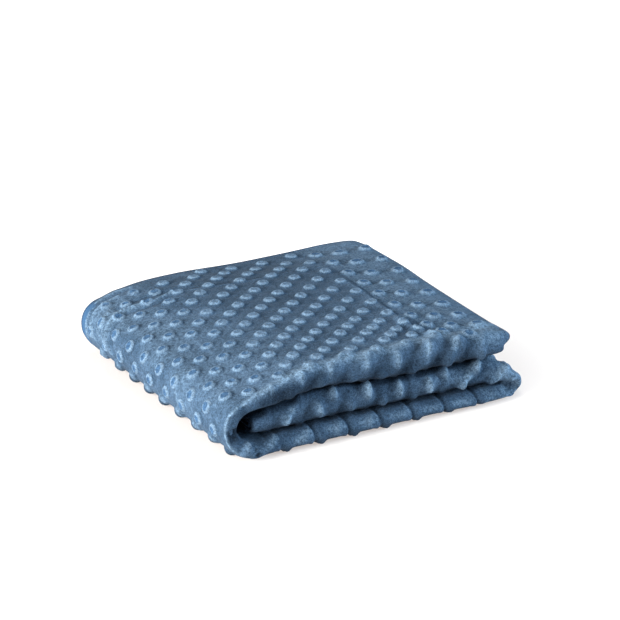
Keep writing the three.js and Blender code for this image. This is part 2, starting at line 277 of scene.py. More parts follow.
# Distance along the strip's outer edge
ARC_STEP = 1 / 40
ARC_PLACES = np.append(np.arange(0, SPINE_END, ARC_STEP), SPINE_END)
ARC = np.array([edge_point("outer", place, MIDDLE_Y) for place in ARC_PLACES])
ARC = join([[0], np.cumsum(np.linalg.norm(np.diff(ARC, axis=0), axis=1))])
ARC_END = ARC[-1]


def arc_at(place):
    return float(np.interp(place, ARC_PLACES, ARC))


def place_at(arc):
    return float(np.interp(arc, ARC, ARC_PLACES))


# The dots' lattice on the cloth. s runs along the strip and w round its section, both in mm, and
# the dots stand at whole and at half steps of a and b together. A step is about 26 mm where the
# cloth lies flat. On the top, a and b follow the dots of the photo, which the folds pull about.
LATTICE_FROM = 473.0
LATTICE_MIDDLE = (600, 115)
LATTICE_REACH = (150, 125)
LATTICE_ORDER = 5
LATTICE_A = [0.087, 6.12, -0.12, -0.067, -0.127, 0.096, -0.749, -0.048, 0.05, 0.104, -0.652,
             0.115, 0.047, 0.189, -0.246, 0.519, 0.034, -0.122, -0.129, 0.008, 0.087]
LATTICE_B = [-0.246, 0.685, 4.879, 1.003, -0.127, -0.105, -1.996, -0.374, -0.088, 0.167, -1.487,
             -0.193, 0.191, 0.147, -0.376, 1.163, 0.412, -0.107, -0.169, -0.036, 0.17]
# How a runs along the hidden layers up to there, and how far the dots drift round the section
UNDER_ARC = table("s a", [
    (0, -22.96), (54, -20.84), (81, -19.84), (108, -18.81), (171, -16.4), (203.5, -15.23), (265, -12.87),
    (293, -11.86), (334, -10.37), (413, -7.37), (437.5, -6.47), (473, -5),
])
DRIFT = table("s w", [
    (0, 2), (52, -1), (67, 3.5), (93, 2.7), (120, 5.5), (146, 9), (171, 12.8), (198, 15.5), (213, 16.5),
    (250, 3), (278.6, 0),
])
# Where the top's dots stand off that lattice near the front: places, radii and shifts
NUDGES = rows("s w reach_s reach_w a b", [
    (654.3, 31.3, 24.3, 26.9, -0.42, -0.55),
    (693.8, 17.9, 19.7, 21.2, -0.31, -0.83),
    (626.8, 16.7, 11.4, 8.0, -0.58, -0.56),
])


def polynomial(coefficients, u, v):
    """Terms in u and v, order by order: 1, u, v, u * u, u * v, v * v and so on."""
    powers = [(order - k, k) for order in range(LATTICE_ORDER + 1) for k in range(order + 1)]
    return sum(c * u ** of_u * v ** of_v for c, (of_u, of_v) in zip(coefficients, powers))


def lattice(s, w):
    s, w = np.broadcast_arrays(np.asarray(s, float), np.asarray(w, float))
    u = (np.maximum(s, LATTICE_FROM) - LATTICE_MIDDLE[0]) / LATTICE_REACH[0]
    v = (w + straight(DRIFT, "w", s) - LATTICE_MIDDLE[1]) / LATTICE_REACH[1]
    a, b = polynomial(LATTICE_A, u, v), polynomial(LATTICE_B, u, v)
    before = straight(UNDER_ARC, "a", s) - UNDER_ARC["a"][-1]
    a = np.where(s < LATTICE_FROM, a + before, a)
    for nudge in NUDGES:
        near = bell((s - nudge.s) / nudge.reach_s) * bell((w - nudge.w) / nudge.reach_w)
        a = a + nudge.a * near
        b = b + nudge.b * near
    return a, b


def nearest_dot(s, w, reach_s, reach_w):
    """The nearest dot: its distance in dot radii and its own place on the cloth."""
    a, b = lattice(s, w)
    a_s, b_s = lattice(s + 1, w)
    a_w, b_w = lattice(s, w + 1)
    a_s, b_s, a_w, b_w = a_s - a, b_s - b, a_w - a, b_w - b
    scale = a_s * b_w - a_w * b_s
    best = None
    for off_a, off_b in ((a - np.round(a), b - np.round(b)), (a - np.floor(a) - 0.5, b - np.floor(b) - 0.5)):
        off_s = (off_a * b_w - off_b * a_w) / scale
        off_w = (off_b * a_s - off_a * b_s) / scale
        found = np.stack([np.hypot(off_s / reach_s, off_w / reach_w), s - off_s, w - off_w])
        best = found if best is None else np.where(found[0] < best[0], found, best)
    return best


# Each zone of the strip has its own step along s and its own columns round the section
ZONES = rows("name start end step top front near", [
    ("middle", 0, RIGHT_START, 1.4, 16, 22, 5),
    ("right", RIGHT_START, BOTTOM_START, 1.4, 90, 18, 8),
    ("bottom", BOTTOM_START, LEFT_START, 1.7, 70, 16, 5),
    ("left", LEFT_START, TOP_LAYER_START, 1.2, 196, 24, 18),
    ("top", TOP_LAYER_START, SPINE_END, 1.2, 196, 26, 8),
])
FAR_COLUMNS = 8
CREASE_COLUMNS = 8
# How many rows each band of the section skips
STRIDES = {"top": 1, "front": 1, "near": 1, "far": 4, "crease": 2, "core": 4, "hem": 2}
BANDS = list(STRIDES)
BAND_PAIRS = list(zip(BANDS, BANDS[1:] + BANDS[:1]))
OUTER_FACE = BANDS[:5]
NEAR_DEPTH = 32
# The core is the hidden faces of the folded sheets: how finely its runs and turns are divided
SHORT_RUN = 3
LONG_RUN = 4
CORE_TURNS = {"inner_front": 4, "inner_hem": 5, "front": 5, "crease": 3, "outer_front": 6}
HEM_STEPS = 6
CORE_SETBACK = Group(first=4, last=6)
HEM_BULGE = 0.9


def fold_arc(centre_y, centre_share, radius_y, radius_share, steps, ends=False, power=1.0):
    """Half a turn of a fold; a power under one makes it squarer."""
    angles = np.linspace(0, np.pi, steps + 1)
    if not ends:
        angles = angles[1:-1]
    across = np.sin(angles) ** power
    along = np.sign(np.cos(angles)) * np.abs(np.cos(angles)) ** power
    return centre_y + radius_y * across, centre_share + radius_share * along, angles


def core_line(depth, thickness, half, crease_y, back_share):
    """The hidden faces between the sheets, from the crease round the inner hem to the outer hem."""
    radius = thickness / 2
    hem_y = depth - INNER_HEM_SETBACK
    ys, shares = [], []

    def run(from_y, to_y, share, steps):
        ys.append(np.linspace(from_y, to_y, steps + 1))
        shares.append(np.full(steps + 1, share))

    def turn(centre_y, centre_share, radius_y, radius_share, name):
        y, share, _ = fold_arc(centre_y, centre_share, radius_y, radius_share, CORE_TURNS[name])
        ys.append(y)
        shares.append(share)

    def front(radius_share, name):
        turn(radius, 0.5, -np.abs(radius_share) * thickness, radius_share, name)
    run(crease_y - CORE_SETBACK.first, radius, 0.5 - INNER_SHARE + half, SHORT_RUN)
    front(half - INNER_SHARE, "inner_front")
    run(radius, hem_y, 0.5 + INNER_SHARE - half, LONG_RUN)
    turn(hem_y, 0.5 + INNER_SHARE, half * thickness * HEM_BULGE, -half, "inner_hem")
    run(hem_y, radius, 0.5 + INNER_SHARE + half, LONG_RUN)
    front(INNER_SHARE + half, "front")
    run(radius, crease_y, 0.5 - INNER_SHARE - half, SHORT_RUN)
    turn(crease_y, back_share, (CREASE_SHARE - half) * thickness, CREASE_SHARE - half, "crease")
    run(crease_y, radius, 0.5 - OUTER_SHARE + half, SHORT_RUN)
    front(half - OUTER_SHARE, "outer_front")
    run(radius, depth - CORE_SETBACK.last, 0.5 + OUTER_SHARE - half, SHORT_RUN)
    return join(ys), join(shares)


def section(zone, place, plump, power, slim):
    """The bands of one section: y, share and cloth distance w of their points."""
    thickness = thickness_at(place)
    depth = depth_at(place)
    radius = thickness / 2
    quarter = radius * np.pi / 2
    half = SHEET_SHARE / 2 * plump
    crease_y = depth - CREASE_SETBACK - (CREASE_SHARE + SHEET_SHARE / 2) * thickness
    back_share = SHEET_SHARE / 2 + CREASE_SHARE
    crease = CREASE_SHARE + half

    def low_run(y):
        return y, np.full_like(y, 0.5 - OUTER_SHARE - half), radius - y - quarter
    bands = {}
    y = np.linspace(depth, radius, zone.top)
    bands["top"] = y, np.full_like(y, 0.5 + OUTER_SHARE + half), y - radius + quarter
    y, share, angles = fold_arc(radius, 0.5, -(OUTER_SHARE + half) * thickness, OUTER_SHARE + half,
                                zone.front, power=power)
    bands["front"] = y, share, quarter - radius * angles
    bands["near"] = low_run(np.linspace(radius, radius + NEAR_DEPTH, zone.near))
    bands["far"] = low_run(np.linspace(radius + NEAR_DEPTH, crease_y, FAR_COLUMNS + 1)[1:-1])
    y, share, angles = fold_arc(crease_y, back_share, crease * thickness, -crease, CREASE_COLUMNS, ends=True)
    bands["crease"] = y, share, radius - crease_y - quarter - angles * crease * thickness
    y, share = core_line(depth, thickness, half, crease_y, back_share)
    bands["core"] = y, share, 0 * y
    y, share, _ = fold_arc(depth, 0.5 + OUTER_SHARE, half * thickness * HEM_BULGE, -half, HEM_STEPS, True)
    bands["hem"] = y[:-1], share[:-1], 0 * y[:-1] + depth - radius + quarter
    return {name: (y, 0.5 + (share - 0.5) * slim, w) for name, (y, share, w) in bands.items()}


# From here on a pair of places along s or w is a soft ramp from the first to the second.
# The smooth bluer hem that shows at the back end of the left turn
BLUE_HEM = Group(s_in=(474, 482), s_out=(528, 516), depth=(9.8, 8.2))
# The crest of the front fold, which gets a painted highlight: where it runs round the section, how wide it is
# and how high
CREST = table("s w width height", [
    (470, 3.5, 1.2, 0), (489, 4.8, 1.3, 0.7), (511, 4.8, 1.3, 0.8), (525, 4.2, 1.5, 0.8),
    (534, 5.5, 2.2, 0.7), (543, 7.3, 3.0, 0.6), (558, 8.7, 3.6, 0.5), (576, 12.3, 4.2, 0.5),
    (609, 14, 4.6, 0.5), (645, 17, 5.0, 0.5), (681, 19, 5.0, 0.5), (722, 22, 5.0, 0.4), (743, 24, 4.0, 0.2),
])
CREST_FROM = (474, 486)


def hem_blue(zone, band, s, hem):
    if zone != "left" or band != "top":
        return 0 * hem
    along = ramp(s, *BLUE_HEM.s_in) * ramp(s, *BLUE_HEM.s_out)
    return along * ramp(hem, *BLUE_HEM.depth)


def crest_share(zone, s, w):
    if zone not in ("left", "top"):
        return 0 * w
    off = (w - straight(CREST, "w", s)) / straight(CREST, "width", s)
    return bell(off) * ramp(s, *CREST_FROM)


# Creases, ridges and painted highlight streaks, laid one by one: height, half width and the painted light and
# shade on the pile
CREASES = []
CREASE_REACH = 3


def lay(height, width, tone, *lines):
    """Lays creases of one kind; each line is s and w in turn."""
    for line in lines:
        CREASES.append(Group(height=height, width=width, tone=tone, line=np.reshape(line, (-1, 2))))


# The pulled cloth at the back of the left turn
lay(2.1, 1.9, 0.75, [569.5, 203.2, 556.8, 199, 545.4, 201.5, 537.1, 203.7, 529.9, 205.1, 523.5, 202.6,
    517.4, 199.7, 512.4, 198.2, 508.1, 195.4, 502, 190.4, 497, 184])
lay(-1.2, 2.8, -0.45, [566, 196.5, 556, 193, 546, 195, 537, 197.5, 530.5, 198.8, 525, 196, 519, 193, 513,
    190.5, 506, 186])
lay(1.2, 1.2, 1.0, [556, 240, 543.2, 240.4, 536.2, 239.9, 528.5, 239, 520.8, 236, 514.3, 233.7, 509.5,
    233.4, 503.1, 232.1, 495, 231])
lay(1.2, 1.6, 0.8, [540, 231, 532.3, 230.2, 520.2, 228.8, 513.3, 227, 507.4, 224.7, 503.2, 220.2, 498, 214])
lay(-0.6, 1.4, -0.5, [545, 236, 532, 235.5, 521, 232.5, 513, 230, 506, 228.5, 499, 226])
lay(-1.2, 3.6, -0.5, [530, 213, 537, 214, 547, 213.5, 562, 210.5, 578, 208.5])
lay(0.9, 1.5, 0.5, [527, 216, 520, 213, 514.5, 208, 510, 203, 505, 199])
lay(0.7, 1.2, 0.45, [507, 213, 503, 205, 499, 197, 495, 187])
# The line that the layer below prints across the right of the top, with its lips
lay(-0.3, 0.9, -0.2, [701, 196, 700.8, 169.8, 699.7, 152.8, 698.4, 133.3, 697.1, 114.4])
lay(-0.55, 0.9, -0.3, [697.1, 114.4, 696.4, 93.5, 695.1, 76, 694.2, 59.1, 694.8, 42.1, 696, 33.4, 698.5, 26,
    701, 19])
lay(0.5, 1.0, 0.3, [702.8, 190, 702.6, 169.8, 701.5, 152.8, 700.2, 133.3, 699, 114.4, 698.3, 93.5, 697, 76,
    696.5, 62])
lay(1.0, 2.4, 0.0, [695.5, 150, 695, 133.3, 693.5, 114.4, 692.5, 93.5, 691, 76, 690, 62])
lay(2.0, 3.6, 0.15, [689.5, 62, 688.5, 48, 690.5, 34, 693.5, 25, 696.5, 17])
# The same along the back of the top
lay(0.5, 1.0, 0.4, [569.5, 203.2, 584.3, 200.5, 598.6, 196.4, 614.4, 194.3, 630.4, 193, 654.5, 194.8, 668.6,
    196.5, 690.3, 195.9, 700.5, 194.1])
lay(-0.5, 1.6, -0.25, [575, 206.5, 600, 200.5, 630.4, 197, 654.5, 198.6, 690.3, 199.5])
# Single creases of the left turn, the nose and the middle roll
lay(1.1, 1.3, 0.6, [505.3, 76.4, 498.7, 73.7, 488.3, 76])
lay(-1.0, 2.6, -0.3, [703, 30, 712, 27, 724, 24, 738, 22])
lay(1.4, 2.2, 0.35, [171.6, -2.8, 179, 3, 186.8, 8.4], [198, -6, 205, 0.5, 213.2, 6])
# Slanting folds of the top roll: its ridges and the valleys between, and how strong each is
for share, *line in ((0.4, 566, -6, 574, 6, 585, 12), (0.4, 590, -8, 597, 5, 605, 11),
                     (0.5, 617, -8, 627.5, 7, 635, 12), (0.7, 644.4, -8, 653, 5.5, 663, 14.5),
                     (0.9, 671, -8, 680, 6, 692, 17), (1, 698.5, -7, 705, 8, 712, 15),
                     (0.8, 726, -7, 728, 4, 734, 14)):
    lay(2.2 * share, 4.2, 0.12, line)
for share, *line in ((0.5, 578, -7, 585, 3, 597, 10), (0.6, 605, -7, 613, 5, 624, 13),
                     (0.6, 632, -7, 640, 5, 649, 11), (0.85, 658, -7, 667, 5, 678, 14),
                     (1, 686, -6, 693, 4, 703, 13), (0.9, 712, -6, 717, 5, 722, 12)):
    lay(-2.0 * share, 3.6, -0.4 * share, line)
# The same of the middle roll, and short ridges of the bottom roll
lay(1.8, 2.8, 0.3, [28, -1.8, 37.4, 5.4], [53.1, 2.5, 58.3, -7], [94, 2, 94.5, 9], [119.6, -2, 119.8, 8],
    [144, -3, 144.5, 6], [172, -4, 186, 7.7, 188, 10], [201.5, -9, 210, 4.7])
lay(-1.3, 2.6, -0.35, [43, -6, 50, 4], [72, -6, 76, 6], [101.5, -5, 102.5, 7], [127, -6, 128, 6], [153, -6,
    156, 5], [180, -7, 193, 5])
lay(1.4, 2.6, 0.3, [458, -2, 448, -6.5], [431, 0, 423.8, -5], [403, 1, 400, -6], [377, 1, 374, -6])
# Painted highlight streaks on the pile, some with low ridges: on the top and middle rolls, on the knobs, and
# on the bottom roll
lay(0.5, 2.1, 1.15, [573.5, 2, 575, 10], [596, 1, 598, 9], [627, 3, 628.5, 11], [652.5, 1, 654.5, 10], [679,
    1, 682, 11], [703.5, 5, 706, 13], [93.5, 3, 94, 9], [119.4, 0, 119.6, 7], [144, -2, 144.5, 5], [172, -4,
    177, 1], [186, 7, 188, 11], [202, -8, 209, 4], [28.1, -2, 33, 3], [54, 0, 58, -7])
lay(1.8, 2.7, 1.1, [159, 5.5, 160, 11], [185, 7, 188, 13], [66.5, 6, 67, 10], [94, 4, 94.5, 8])
lay(0, 2.2, 0.75, [436, -1, 424, -5], [410, -4, 397, -4], [383, -3, 370, -4], [456, -3, 449, -6], [357, -3,
    345, -3], [331, -3, 318, -2], [305, -2, 292, -2])
# Painted light on the right turn, and painted shade on stretches of the left and top rolls
lay(0, 4.5, 0.55, [212, 3, 232, 4, 244, 1], [222, -4, 236, -4, 252, -2])
lay(0, 5.5, -0.55, [520, -4, 545, -4, 575, -5], [486, -5, 505, -6, 520, -5])
lay(0, 4, -0.5, [540, 0, 558, 1.5, 580, 3, 598, 3])
# Under the top and middle rolls the creases are this much lower
UNDER_ROLL = Group(share=0.35, w=(-8, -2))
# Broad soft swells and hollows of the left turn and the top, and the painted light and shade on them
SWELLS = rows("s w radius height tone", [
    (517, 119, 11, 0.8, 0.3), (516, 77, 11, 0.9, 0.35), (521, 30, 12, 0.7, 0.2), (534, 148, 13, 0.6, 0.15),
    (505, 150, 9, -0.7, -0.2), (500, 98, 9, -0.7, -0.2), (545, 100, 14, -0.6, -0.15), (560, 60, 15, 0.5, 0),
    (590, 90, 18, 0.5, -0.05), (620, 140, 20, 0.5, -0.1), (610, 40, 14, -0.5, -0.1),
    (655, 100, 18, -0.4, -0.1), (560, 165, 14, -0.6, -0.2), (590, 160, 15, 0.5, -0.1),
    (660, 165, 18, 0.4, -0.1), (725, 120, 16, 0.5, 0.05), (728, 60, 14, 0.5, 0.1), (722, 165, 16, -0.4, 0),
    (530, 180, 12, -0.7, -0.1), (640, 65, 12, 0.4, -0.1), (505, 200, 12, 0.3, 0.25), (500, 225, 9, 0.2, 0.15),
    (600, 120, 30, 0, -0.15), (640, 150, 35, 0, -0.15), (488, 120, 8, 0.3, 0.1), (486, 45, 8, 0.3, 0.1),
    (536, 60, 9, 0.4, 0.15), (530, 95, 6, 0.3, 0.15), (497, -1, 4.6, -2.4, -2.2), (477, -4.5, 3.6, 3.0, 0.8),
    (466.5, 1.5, 4.8, 2.6, 0.9), (466.5, 1.5, 2.3, -2.4, -2.2), (738, 8, 9, 0.9, 0.3), (722, 12, 7, 0.8, 0.3),
    (520, 205, 14, 0.2, 0.2), (512, 180, 14, 0.2, 0.2), (497, 165, 12, 0.2, 0.2), (508, 228, 10, 0, 0.2),
    (512, 205, 30, 0, 0.5), (494, 188, 22, 0, -0.25), (600, 205, 40, 0, -0.24), (660, 215, 40, 0, -0.24),
    (540, 150, 26, 0, 0.15), (735, 16, 16, 0, 0.5), (745, 2, 12, 0, 0.2), (740, 240, 6, 1.5, 0),
    (750, 222, 5, 1.8, 0), (535, 110, 16, 0.3, 0.2), (506, 60, 14, 0, 0.15),
])
# Broad stretches of painted light and shade on the pile: how much, and their ramps; ALL is reached everywhere
ALL = (-1000, -999)
SHADES = rows("zone tone s w", [
    ("middle", -1, (4.9, 2.4), ALL), ("middle", -0.3, ALL, (1, -4)), ("middle", -0.6, ALL, (-5, -9)),
    ("middle", 0.3, (120, 165), ALL), ("middle", -0.9, (52, 36), (3, 8)), ("right", 0.4, ALL, ALL),
    ("right", 0.3, (262, 240), ALL), ("bottom", -0.15, ALL, ALL), ("bottom", -0.7, ALL, (-7, -11)),
    ("bottom", -0.35, ALL, (0, 5)), ("top", -0.6, ALL, (-5, -9)), ("top", -0.62, ALL, (6, -5)),
    ("top", -0.8, (ARC_END - 3, ARC_END - 1), ALL), ("top", 0.3, (699, 703), (12, 30)),
    ("top", -0.07, (570, 600), (20, 40)), ("top", 0.07, (680, 697), (20, 40)),
    ("top", 0.12, (610, 575), ALL), ("left", 0.12, (508, 525), ALL),
    ("left", -0.3, (527, 508), (135, 165)),
])
# The painted shade in the gap above the middle roll, which comes lower along part of the roll
GAP_SHADE = Group(w=8.5, width=4, s=(200, 182))
GAP_LOWER = Group(by=2.5, s_in=(80, 100), s_out=(175, 150))
# Short grooves across the bottom roll, one beside each dot of its front, with painted shade in each groove
# and a painted highlight on its lip; widths are steps of a
GROOVE = Group(shift=-0.28, width=0.045, depth=1.5, tone=-0.7, w_in=(-15, -9), w_out=(12, 6))
GROOVE_LIP = Group(shift=0.09, width=0.0585, height=0.6, tone=0.35)
GROOVE_LEFT = Group(share=0.5, s=(434, 442))


def line_distance(s, w, line):
    best = np.full(np.shape(s), np.inf)
    for (s0, w0), (s1, w1) in zip(line, line[1:]):
        along = ((s - s0) * (s1 - s0) + (w - w0) * (w1 - w0)) / ((s1 - s0) ** 2 + (w1 - w0) ** 2)
        along = np.clip(along, 0, 1)
        best = np.minimum(best, np.hypot(s - s0 - along * (s1 - s0), w - w0 - along * (w1 - w0)))
    return best


# Each field gives heights over the cloth and the painted light and shade on its pile
def crease_field(zone, s, w):
    height, tone = 0 * w, 0 * w
    for crease in CREASES:
        reach = CREASE_REACH * crease.width
        low, high = crease.line.min(0) - reach, crease.line.max(0) + reach
        touched = (s > low[0]) & (s < high[0]) & (w > low[1]) & (w < high[1])
        if touched.any():
            near = bell(line_distance(s[touched], w[touched], crease.line) / crease.width)
            height[touched] += crease.height * near
            tone[touched] += crease.tone * near
    if zone in ("middle", "top"):
        height = height * mix(UNDER_ROLL.share, 1, ramp(w, *UNDER_ROLL.w))
    return height, tone


def swell_field(zone, s, w):
    height, tone = 0 * w, 0 * w
    if zone in ("left", "top"):
        for swell in SWELLS:
            near = bell(np.hypot(s - swell.s, w - swell.w) / swell.radius)
            height = height + swell.height * near
            tone = tone + swell.tone * near
        height = height + straight(CREST, "height", s) * crest_share(zone, s, w)
    return height, tone


def shade_field(zone, s, w):
    tone = 0 * w
    for shade in SHADES:
        if shade.zone == zone:
            tone = tone + shade.tone * ramp(s, *shade.s) * ramp(w, *shade.w)
    if zone == "middle":
        gap_w = GAP_SHADE.w - GAP_LOWER.by * ramp(s, *GAP_LOWER.s_in) * ramp(s, *GAP_LOWER.s_out)
        tone = tone - ramp(w, gap_w, gap_w + GAP_SHADE.width) * ramp(s, *GAP_SHADE.s)
    return 0 * w, tone


def groove_field(zone, s, w):
    if zone != "bottom":
        return 0 * w, 0 * w
    a, _ = lattice(s, w)
    off = a - GROOVE.shift
    off = off - np.round(off)
    window = ramp(w, *GROOVE.w_in) * ramp(w, *GROOVE.w_out)
    window = window * mix(1, GROOVE_LEFT.share, ramp(s, *GROOVE_LEFT.s))
    groove = bell(off / GROOVE.width) * window
    lip = bell((off - GROOVE_LIP.shift) / GROOVE_LIP.width) * window
    height = GROOVE_LIP.height * lip - GROOVE.depth * groove
    return height, GROOVE_LIP.tone * lip + GROOVE.tone * groove


# How the dots stand: on the flats, on the front folds, and under them
DOT = Group(radius=5.9, height=2.2, dimple=0.7, rim=0.62, rim_width=0.08, blue=0.3)
FOLD_DOT = Group(reach_s=5.6, reach_w=7.2, height=3.6, power=1.4)
TIP_DOT = Group(reach_s=4.4, reach_w=5.5, height=1.6, power=1.4, w=(-4, -9))
FOLD_SHARE = table("s height reach", [
    (200, 0.9, 0.84), (222, 0.55, 0.8), (232, 0.25, 0.8), (285, 0.3, 0.76), (300, 0.95, 0.84),
    (450, 0.95, 0.84), (457, 1, 1), (540, 0.55, 0.9), (600, 0.5, 0.92), (645, 0.8, 0.96),
    (690, 0.95, 1), (757, 1, 1),
])
# The front fold's dots end about where the fold does, and earlier towards the nose
FOLD_END = Group(quarters=0.75, past=5, early=5, early_s=(698, 708))
# The dots right of the printed line are wider, with more painted shade in their centres and painted
# highlights on their rings
RIGHT_DOTS = Group(s=(694, 706), wide=0.16, blue=0.9, tone=0.6)
RIGHT_RING = Group(start=(0.3, 0.45), end=(0.9, 0.75))
# More painted shade in the dots' centres on the left turn, fading out across the near part of the top
SLOPE_CENTRE_SHADE = Group(amount=0.7, s=(580, 552))
# How far the dots keep from hems, ends and the nose, and what is left of them elsewhere
CLEAR = Group(left_hem=(16, 19), hem=(7, 10), end=(4, 7), start=(12, 19), nose=11, nose_w=(26, 16))
INSIDE = Group(loss=0.88, y=(-3, 7))
CREASE_LEFT = 0.8
BOTTOM_DOME = Group(loss=0.7, w=(6, 3))
# The left turn: heads that stand on the table, with painted shade, a row of heads above with painted
# highlights, and pits in the wall
WALL = Group(w=9, edge=(1, -2), bare_from=3.5, bare_past=2)
WALL_PIT = Group(depth=1.9, reach=(0.75, 0))
WALL_HEAD = Group(height=2.6, power=1.2, s=(483, 481))
KNOB = Group(height=4.2, power=0.8, tone=-0.8, s=(482, 478))
TOOTH = Group(height=2.6, power=0.9, tone=0.9, s_in=(482, 484), s_out=(493, 491), lit=(0.9, 0.5))
FARTHEST = 2


def fold_share(zone, band, s, w, quarter):
    """How far the dots are domes: 1 on the front fold and 0 on the flats."""
    if band in ("far", "crease"):
        return 0 * w
    if zone == "left":
        inner, outer = WALL.edge
        return ramp(np.abs(w), WALL.w + inner, WALL.w + outer)
    early = FOLD_END.early * ramp(s, *FOLD_END.early_s) * (zone == "top")
    return ramp(w, quarter + FOLD_END.past - early, quarter * FOLD_END.quarters - early)


def whole_share(zone, band, y, dot_s, dot_w, row):
    """How much is left of each dot near hems and ends and inside folds."""
    whole = np.ones_like(dot_s)
    inside = 1 - INSIDE.loss * ramp(y - row.radius, *INSIDE.y)
    if band != "crease":
        hem = row.depth - row.radius + row.quarter - dot_w
        whole = whole * ramp(hem, *(CLEAR.left_hem if zone == "left" else CLEAR.hem))
    else:
        whole = whole * CREASE_LEFT
    if zone == "top":
        whole = whole * ramp(ARC_END - dot_s - CLEAR.nose * ramp(dot_w, *CLEAR.nose_w), *CLEAR.end)
    if zone == "middle":
        whole = whole * ramp(dot_s, *CLEAR.start)
    if band in ("near", "far"):
        whole = whole * inside * (zone != "left")
    if band == "top" and zone == "middle":
        whole = whole * inside
    return whole


def dome_of(style, t):
    return style.height * (1 - t * t) ** style.power


def dot_field(zone, band, s, w, y, row):
    """The dots' heights, their painted light and shade, and their looks."""
    fold = fold_share(zone, band, s, w, row.quarter)
    tip = ramp(w, *TIP_DOT.w)
    right = ramp(s, *RIGHT_DOTS.s) * (zone == "top")
    flat_reach = DOT.radius * (1 + RIGHT_DOTS.wide * right)
    share = straight(FOLD_SHARE, "reach", s)
    reach_s = mix(mix(flat_reach, FOLD_DOT.reach_s * share, fold), TIP_DOT.reach_s, tip * fold)
    reach_w = mix(mix(flat_reach, FOLD_DOT.reach_w * share, fold), TIP_DOT.reach_w, tip * fold)
    distance, dot_s, dot_w = nearest_dot(s, w, reach_s, reach_w)
    whole = whole_share(zone, band, y, dot_s, dot_w, row)
    t = np.clip(distance, 0, 1)
    crater = DOT.height * ramp(t, 1, DOT.rim - DOT.rim_width)
    crater = crater - DOT.dimple * ramp(t, DOT.rim, 0)
    dome = mix(dome_of(FOLD_DOT, t), dome_of(TIP_DOT, t), tip) * straight(FOLD_SHARE, "height", s)
    if zone == "bottom":
        dome = dome * (1 - BOTTOM_DOME.loss * ramp(dot_w, *BOTTOM_DOME.w))
    crisp = (1 - fold) * whole
    tone = 0 * t
    # How much painted shade goes in the dots' centres; more of it leaves less painted sheen on their heads
    blue = DOT.blue + 0 * s
    if zone == "left":
        pit = -WALL_PIT.depth * ramp(t, *WALL_PIT.reach)
        dome = mix(pit, dome_of(WALL_HEAD, t), ramp(dot_s, *WALL_HEAD.s))
        bare = (np.abs(dot_w) > WALL.bare_from) & (np.abs(dot_w) < WALL.w + WALL.bare_past)
        whole = np.where(bare, 0, whole)
        flat = (1 - fold) * whole
        knob = ramp(dot_s, *KNOB.s)
        tooth = ramp(dot_s, *TOOTH.s_in) * ramp(dot_s, *TOOTH.s_out)
        crater = mix(mix(crater, dome_of(KNOB, t), knob), dome_of(TOOTH, t), tooth)
        tone = KNOB.tone * knob * (1 - t * t) * flat
        tone = tone + TOOTH.tone * tooth * ramp(t, *TOOTH.lit) * flat
        crisp = flat * (1 - knob) * (1 - tooth)
        blue = blue + SLOPE_CENTRE_SHADE.amount
    if zone == "top":
        blue = blue + SLOPE_CENTRE_SHADE.amount * ramp(s, *SLOPE_CENTRE_SHADE.s) + RIGHT_DOTS.blue * right
        ring = ramp(t, *RIGHT_RING.start) * ramp(t, *RIGHT_RING.end)
        tone = RIGHT_DOTS.tone * ring * right * crisp
    looks = {"dot_distance": np.minimum(distance, FARTHEST), "dot_crisp": crisp, "dot_blue": blue}
    return mix(crater, dome, fold) * whole, tone, looks


# The ground of the cloth stands a dot's height above the table, and less at the front
UNDER_LIFT = Group(height=2.4, top=9, power=1.5)
FRONT_LIFT = Group(loss=1.2, y=(16, 4))


def settle(points):
    lift = np.clip(1 - points[..., 2] / UNDER_LIFT.top, 0, 1) ** UNDER_LIFT.power
    front = ramp(points[..., 1], *FRONT_LIFT.y)
    out = points.copy()
    out[..., 2] += (UNDER_LIFT.height - FRONT_LIFT.loss * front) * lift
    return out


# How square the front fold is along the strip, and how the strip's hidden start tapers
SQUARENESS = table("s power", [(440, 1), (480, 0.72), (540, 0.72), (580, 0.85), (720, 0.9), (757, 1)])
SLIMNESS = table("s share", [(0, 0.56), (3, 0.6), (16, 0.94), (26, 1)])
START_TRIM = 3.0
END_ROUND = 2.6
END_PLUMP = 0.35
END_ROWS = np.array([0, 0.3, 0.9, 1.7])


def plump_at(s):
    """The sheets grow thinner over the last stretch of the strip's two ends."""
    inside = np.clip(min(s - START_TRIM, ARC_END - s) / END_ROUND, 0, 1)
    return float(mix(END_PLUMP, 1, np.sqrt(1 - (1 - inside) ** 2)))


def zone_arcs(zone):
    """Where a zone's rows stand along s."""
    start, end = arc_at(zone.start), arc_at(zone.end)
    if zone.name == "middle":
        start = START_TRIM
    arcs = np.linspace(start, end, round((end - start) / zone.step) + 1)
    if zone.name == "middle":
        return join([start + END_ROWS, arcs[arcs > start + END_ROUND]])
    arcs = arcs[1:]
    if zone.name == "top":
        arcs = join([arcs[arcs < end - END_ROUND], end - END_ROWS[::-1]])
    return arcs


def zone_sections(zone, arcs):
    """The points, y and w of a zone's bands."""
    data = {band: [] for band in BANDS}
    for s in arcs:
        place = place_at(s)
        power = float(straight(SQUARENESS, "power", s))
        slim = float(straight(SLIMNESS, "share", s))
        bands = section(zone, place, plump_at(s), power, slim)
        y = join([part[0] for part in bands.values()])
        share = join([part[1] for part in bands.values()])
        ends = np.cumsum([len(part[0]) for part in bands.values()])
        points = np.split(strip_points(place, y, share), ends[:-1])
        for band, part in zip(BANDS, points):
            data[band].append((part, bands[band][0], bands[band][2]))
    return {band: [np.array([row[k] for row in data[band]]) for k in range(3)] for band in BANDS}


def outward_directions(face):
    across = np.cross(np.gradient(face, axis=1), np.gradient(face, axis=0))
    return across / np.linalg.norm(across, axis=-1, keepdims=True)


